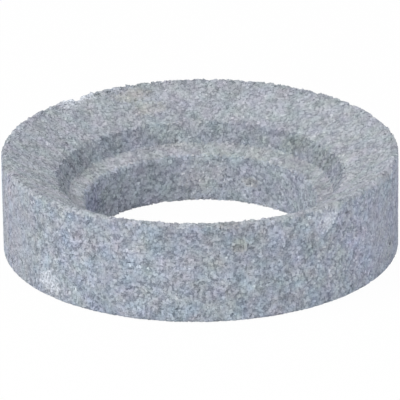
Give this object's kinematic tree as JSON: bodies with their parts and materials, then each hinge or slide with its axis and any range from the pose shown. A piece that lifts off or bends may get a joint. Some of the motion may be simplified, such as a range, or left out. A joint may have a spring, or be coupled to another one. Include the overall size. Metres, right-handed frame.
{
  "type": "grinding wheel",
  "caption": "Thick coarse-grained grinding ring with a wide plain bore, one flat face and one dished face that steps down to a recess for the clamping flange.",
  "frame": {"origin": "centre of the bore on the flat back face, which the wheel lies on", "axes": "+Z along the bore axis, from the flat back face towards the dished face; the wheel is round about it, and a chip on the rim lies at 130 degrees from +X"},
  "size_m": [0.12, 0.12, 0.0312],
  "materials": {
    "abrasive": "coarse open grain, matt, blue-grey"
  },
  "bodies": {
    "root": {"abrasive_ring": "abrasive"}
  },
  "joints": []
}
